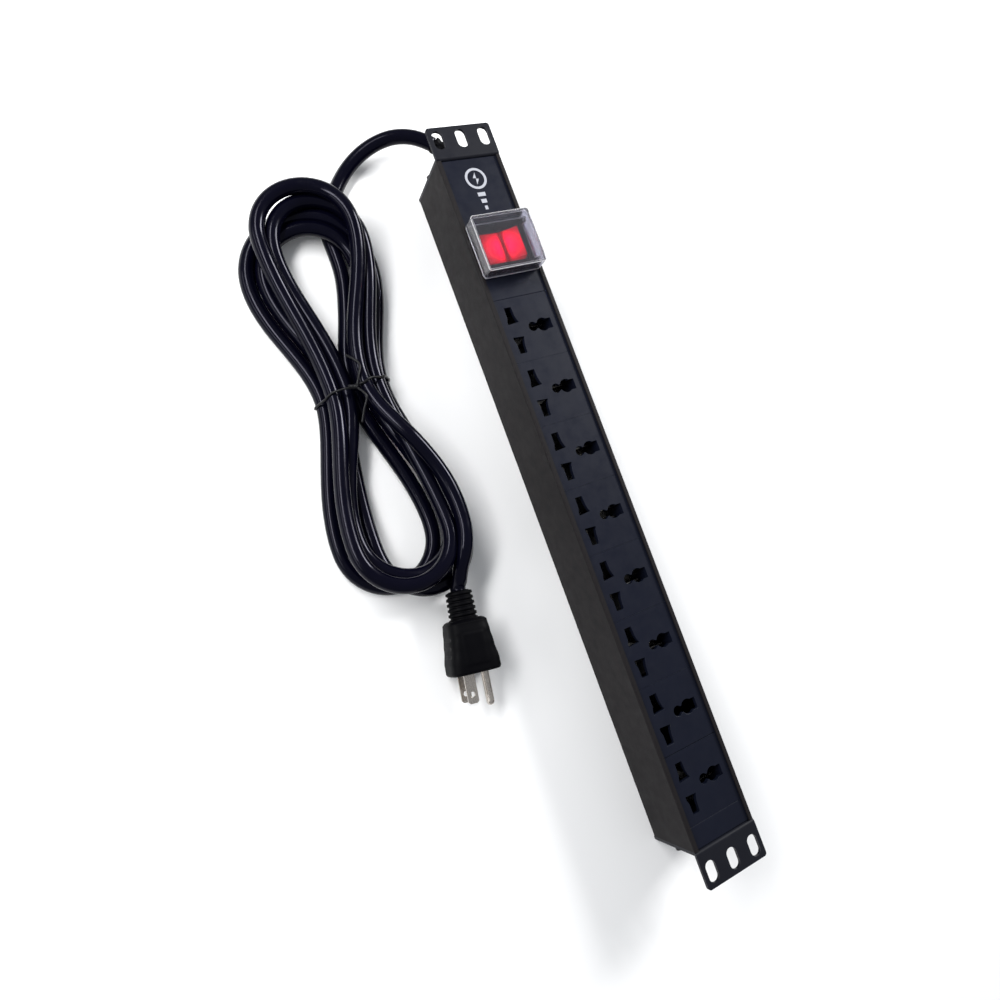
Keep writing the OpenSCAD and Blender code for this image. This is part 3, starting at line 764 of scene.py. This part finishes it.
def runs_at(x, reach):
    """Where the lead's runs pass a plane across the hank: (y, z) points."""
    found = []
    for a, b in zip(cord_line, cord_line[1:]):
        if (a.x - x) * (b.x - x) <= 0 and a.x != b.x and abs(a.y - HANK_Y) < reach:
            p = a.lerp(b, (x - a.x) / (b.x - a.x))
            found.append((p.y, p.z))
    return found


RING_STEPS, TIE_STEP = 160, 1.2
TIE_LEAN = 3.2  # the ring crosses the runs a little aslant
KNOT_V = -6
HANK_MIDDLE_Z = 12
TWIST_STEPS, TWIST_TURNS = 34, 2.5
TIE_SIDES = 10


def tie_ring():
    """The wire pulled tight round the runs, from its knot on top all the way round."""
    x = HANK_X + TIE_U
    runs = runs_at(x, 30)
    reach = CORD_R + TIE_WIRE_R
    ring = []
    for k in range(RING_STEPS):
        angle = math.pi / 2 + 2 * math.pi * k / RING_STEPS
        c, s = math.cos(angle), math.sin(angle)
        y, z = max(runs, key=lambda run: run[0] * c + run[1] * s)
        lean = TIE_LEAN * math.sin(angle - math.pi / 2)
        ring.append(Vector((x + lean, y + c * reach, max(TIE_WIRE_R, z + s * reach))))
    ring = [Vector(p) for p in smoothed(resampled(ring, TIE_STEP), 3)]

    def far_from_knot(k):
        underside = 100 if ring[k].z < HANK_MIDDLE_Z else 0
        return abs(ring[k].y - HANK_Y - KNOT_V) + underside

    first = min(range(len(ring)), key=far_from_knot)
    return ring[first:-1] + ring[:first]


def tie_end(top, strand):
    """One end of the wire: its half of the twist, and then its free tail."""
    turns = []
    for k in range(TWIST_STEPS):
        t = k / (TWIST_STEPS - 1)
        angle = strand * math.pi + t * 2 * math.pi * TWIST_TURNS
        centre = top + Vector((1.5 * t, 4.5 * t, 1.1 + 1.2 * t))
        turns.append(
            centre + Vector((math.cos(angle) * TIE_WIRE_R, 0, math.sin(angle) * TIE_WIRE_R)))
    end = turns[-1]
    sign = 1 if strand else -1
    tail = [
        end, end + Vector((6 * sign, 3, 0.8)), end + Vector((13 * sign, 2.5 - 3 * sign, -0.4)),
        end + Vector((20 * sign, -2 - 2 * sign, -1.8)),
    ]
    return turns + through(tail, 8)[1:]


def make_tie():
    """A wire pulled tight round the runs, twisted on top, with its two ends left free."""
    ring = tie_ring()
    top = (ring[0] + ring[-1]) / 2
    line = list(reversed(tie_end(top, 0))) + ring[1:-1] + tie_end(top, 1)
    return tube("twist_tie", line, lambda i, angle: TIE_WIRE_R, TIE_SIDES)


twist_tie = make_tie()

for piece, slot, nodes in (
    (cord, "lead_pvc", ["cord_lead", "cord_hank"]),
    (plug_body, "gland_pvc", ["plug_body"]),
    (plug_relief, "gland_pvc", ["plug_relief"]),
    (twist_tie, "tie_wire", ["hank_tie"]),
):
    paint(piece, slot)
    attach(piece, "strip")
    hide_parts(*nodes)

# ---------------------------------------------------------------- the studio

FLOOR_HALF = 4000


def stage_floor():
    a = FLOOR_HALF
    floor = mesh_object("floor", [(-a, -a, 0), (a, -a, 0), (a, a, 0), (-a, a, 0)], [(0, 1, 2, 3)])
    made = Shade("floor")
    pale = made.mixed(made.noise(6, 2), (0.93, 0.93, 0.93), (0.95, 0.95, 0.95))
    made.feed(pale, "Base Color")
    made.set(roughness=0.8)
    floor.data.materials.append(made.material)


def lamp(name, place, target, size, power):
    data = bpy.data.lights.new(name, "AREA")
    data.shape = "RECTANGLE"
    data.size, data.size_y = size
    data.energy = power
    made = bpy.data.objects.new(name, data)
    made.location = place
    made.rotation_euler = (Vector(target) - Vector(place)).to_track_quat("-Z", "Y").to_euler()
    made.visible_camera = False
    bpy.context.scene.collection.objects.link(made)


def make_world(strength):
    world = bpy.data.worlds.new("world")
    bpy.context.scene.world = world
    world.use_nodes = True
    background = world.node_tree.nodes["Background"]
    background.inputs["Color"].default_value = (0.93, 0.96, 1, 1)
    background.inputs["Strength"].default_value = strength


stage_floor()
lamp("key", (-0.65, 1.50, 1.00), (-0.05, -0.05, 0), (0.6, 0.5), 38)
lamp("above", (-0.29, -0.37, 0.48), (-0.12, -0.12, 0), (0.6, 0.09), 4.0)
lamp("side", (-0.35, -1.25, 0.60), (-0.05, -0.05, 0), (1.3, 0.14), 5.0)
make_world(0.43)
bpy.context.scene.view_settings.view_transform = "Standard"
